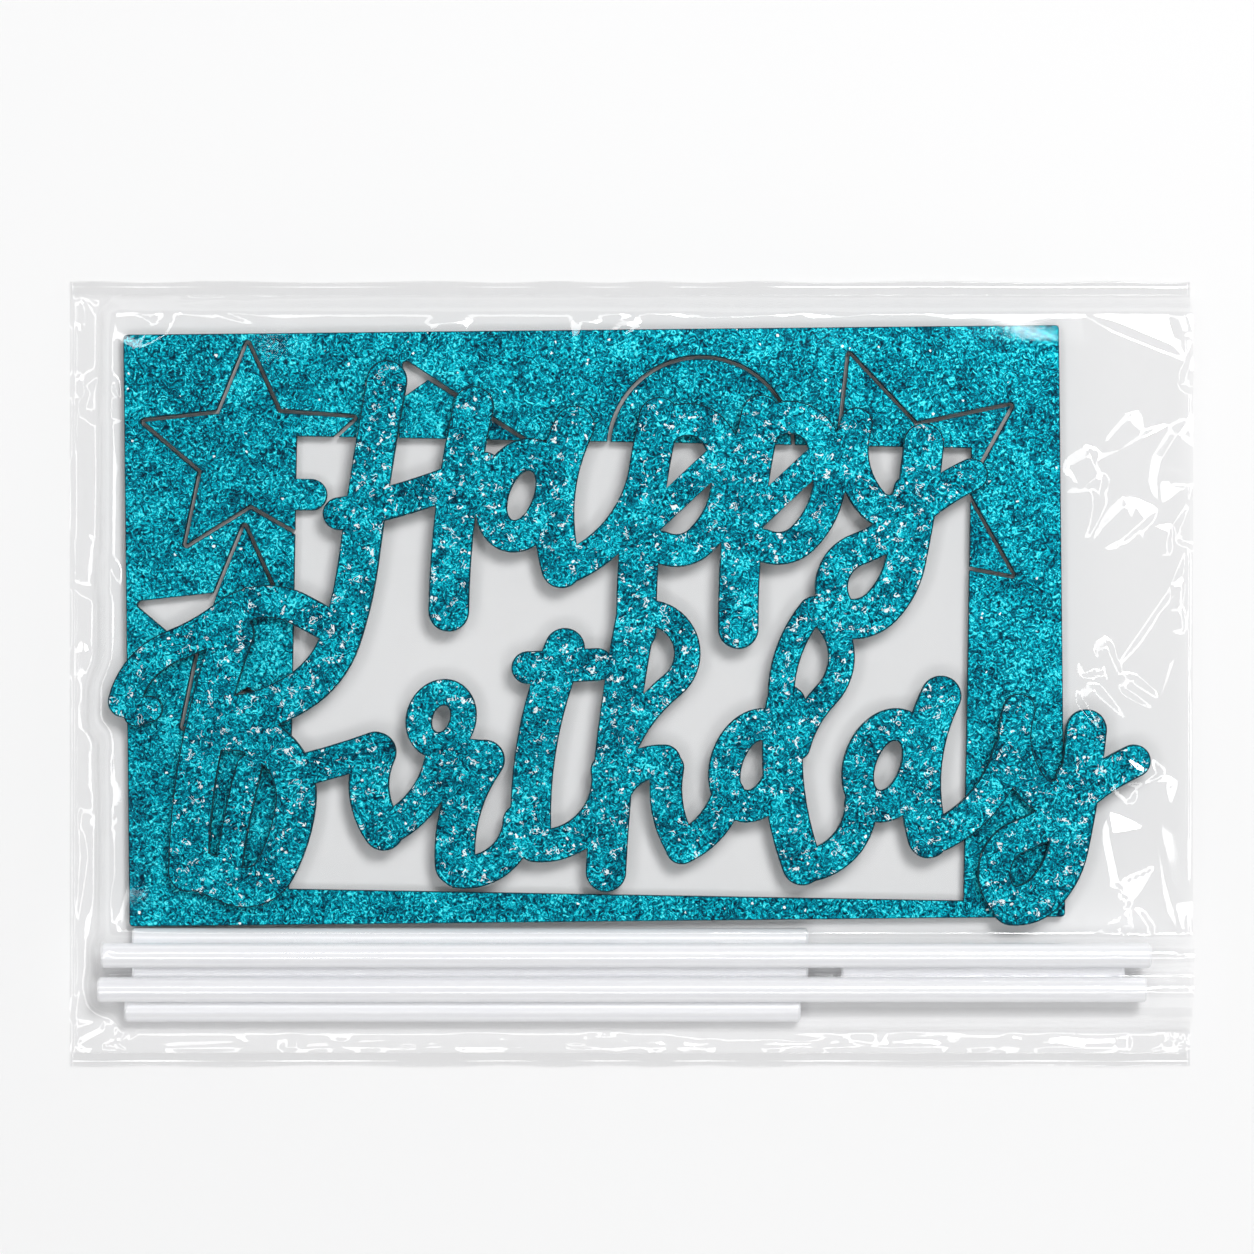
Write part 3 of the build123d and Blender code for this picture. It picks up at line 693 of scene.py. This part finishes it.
# The slack of the film shows as low, broad swells. They and the folds fade towards the held edges.
swell_height, swell_count, swell_lengths = 0.06 * mm, 14, (11 * mm, 34 * mm)
swell_base, swell_most = 1.2, 3
swell_fade, lift_fade = 16 * mm, 0.6 * mm
swells = np.zeros(len(film_x))
for _ in range(swell_count):
    bearing = random.uniform(0, 2 * math.pi)
    wave = random.uniform(*swell_lengths)
    way = film_x * math.cos(bearing) + film_y * math.sin(bearing)
    swells += np.sin(2 * math.pi * (way / wave + random.uniform(0, 1)))
swells = np.clip(swells / math.sqrt(swell_count) + swell_base, 0, swell_most)
inside = np.minimum(film_side - np.abs(film_y), film_x + half_length)
film_z = film_z + swell_height * swells * np.clip(inside / swell_fade, 0, 1)
film_z = film_z + lift * np.clip(inside / lift_fade, 0, 1)
front_points[:, 2] = np.maximum(film_z, stick_rest(film_x, film_y))
set_points(front_film, front_points)
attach(front_film, "bag")
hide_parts("bag_front_film")

# Bag welds: the two long sides, where heat and pressure have melted front and back into one strip
# with one fine ridge along it. The strip is a little wavy, most of all along its outer edge.
half_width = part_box("bag_upper_weld")[1].y
weld_width = half_width - film_side
weld_thickness = 0.2 * mm
weld_columns, weld_rows = 323, 15
weld_wave, weld_wander = 3.1 * mm, 14 * mm
wave_height, wave_reach, reach_power = 0.03 * mm, 0.12 * mm, 4
ridge_height, ridge_width, ridge_place = 0.04 * mm, 0.13 * mm, 0.55
for name, side in (("upper", 1), ("lower", -1)):
    strip_rows = np.linspace(-1, 1, weld_rows) * weld_width / 2 + side * (half_width - weld_width / 2)
    strip, strip_points, _, _ = film_grid(
        f"{name}_weld", front_clear, np.linspace(-half_length, half_length, weld_columns), strip_rows
    )
    strip_x = strip_points[:, 0]
    outward = (np.abs(strip_points[:, 1]) - film_side) / weld_width
    wave = np.sin(strip_x / weld_wave + wander * np.sin(strip_x / weld_wander))
    ridge = (outward - ridge_place) * weld_width / ridge_width
    strip_points[:, 2] = weld_height + wave_height * wave * outward + ridge_height * np.exp(-ridge ** 2)
    strip_points[:, 1] += side * wave_reach * wave * outward ** reach_power
    set_points(strip, strip_points)
    solid = strip.modifiers.new("thickness", "SOLIDIFY")
    solid.thickness = weld_thickness
    solid.offset = -1
    bpy.ops.object.modifier_apply(modifier=solid.name)
    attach(strip, "bag")
    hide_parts(f"bag_{name}_weld")

# The ceiling is dark, so that the film stays clear where it lies flat.
floor_size, floor_drop = 6.0, 0.2 * mm
floor_white = (0.935, 0.935, 0.935, 1)
bpy.ops.mesh.primitive_plane_add(size=floor_size, location=(0, 0, -floor_drop))
floor = bpy.context.object
floor.name = "floor"
floor_paint, _, floor_shader = new_material("floor_white")
floor_shader.inputs["Base Color"].default_value = floor_white
floor_shader.inputs["Roughness"].default_value = 0.9
floor_shader.inputs["Specular IOR Level"].default_value = 0.0
floor.data.materials.append(floor_paint)

horizon_white, ceiling_dark = (1, 1, 1, 1), (0.03, 0.03, 0.032, 1)
horizon_height, ceiling_height = 0.2, 0.5
world = bpy.data.worlds.new("studio")
bpy.context.scene.world = world
world.use_nodes = True
world_tree = world.node_tree
room = world_tree.nodes["Background"]
room.inputs["Strength"].default_value = 1.0
world_way = world_tree.nodes.new("ShaderNodeTexCoord")
world_split = world_tree.nodes.new("ShaderNodeSeparateXYZ")
world_tone = world_tree.nodes.new("ShaderNodeValToRGB")
world_tone.color_ramp.elements[0].position = horizon_height
world_tone.color_ramp.elements[0].color = horizon_white
world_tone.color_ramp.elements[1].position = ceiling_height
world_tone.color_ramp.elements[1].color = ceiling_dark
world_tree.links.new(world_way.outputs["Generated"], world_split.inputs[0])
world_tree.links.new(world_split.outputs["Z"], world_tone.inputs["Fac"])
world_tree.links.new(world_tone.outputs["Color"], room.inputs["Color"])

softbox_distance = 1.2
softboxes = {
    "east": (13, 23, 0.36, 0.16, 0.95),
    "key": (58, 24.5, 0.36, 0.32, 7.3),
    "north": (103, 23, 0.36, 0.16, 0.6),
    "north_west": (148, 23, 0.36, 0.16, 0.95),
    "west": (193, 23, 0.36, 0.16, 1.0),
    "south_west": (238, 23, 0.36, 0.16, 1.1),
    "south": (283, 23, 0.36, 0.16, 0.9),
    "south_east": (328, 23, 0.36, 0.16, 1.1),
}
for name, (bearing, lean, width, height, power) in softboxes.items():
    away = Vector((
        math.sin(math.radians(lean)) * math.cos(math.radians(bearing)),
        math.sin(math.radians(lean)) * math.sin(math.radians(bearing)),
        math.cos(math.radians(lean)),
    ))
    bpy.ops.object.light_add(type="AREA", location=away * softbox_distance)
    lamp = bpy.context.object
    lamp.name = f"softbox_{name}"
    lamp.data.shape = "RECTANGLE"
    lamp.data.size = width
    lamp.data.size_y = height
    lamp.data.energy = power
    lamp.rotation_euler = away.to_track_quat("Z", "Y").to_euler()

# The photograph is square. The camera looks straight down.
photo_side = 1254
pixel = 0.144 * mm
bag_pixel = (630, 674)
camera_height = 0.9
sensor_width = 36
bpy.ops.object.camera_add()
camera = bpy.context.object
camera.data.sensor_width = sensor_width
camera.data.lens = sensor_width * camera_height / (photo_side * pixel)
camera.location = (
    (photo_side / 2 - bag_pixel[0]) * pixel,
    (bag_pixel[1] - photo_side / 2) * pixel,
    camera_height,
)
bpy.context.scene.camera = camera
bpy.context.scene.view_settings.view_transform = "Standard"
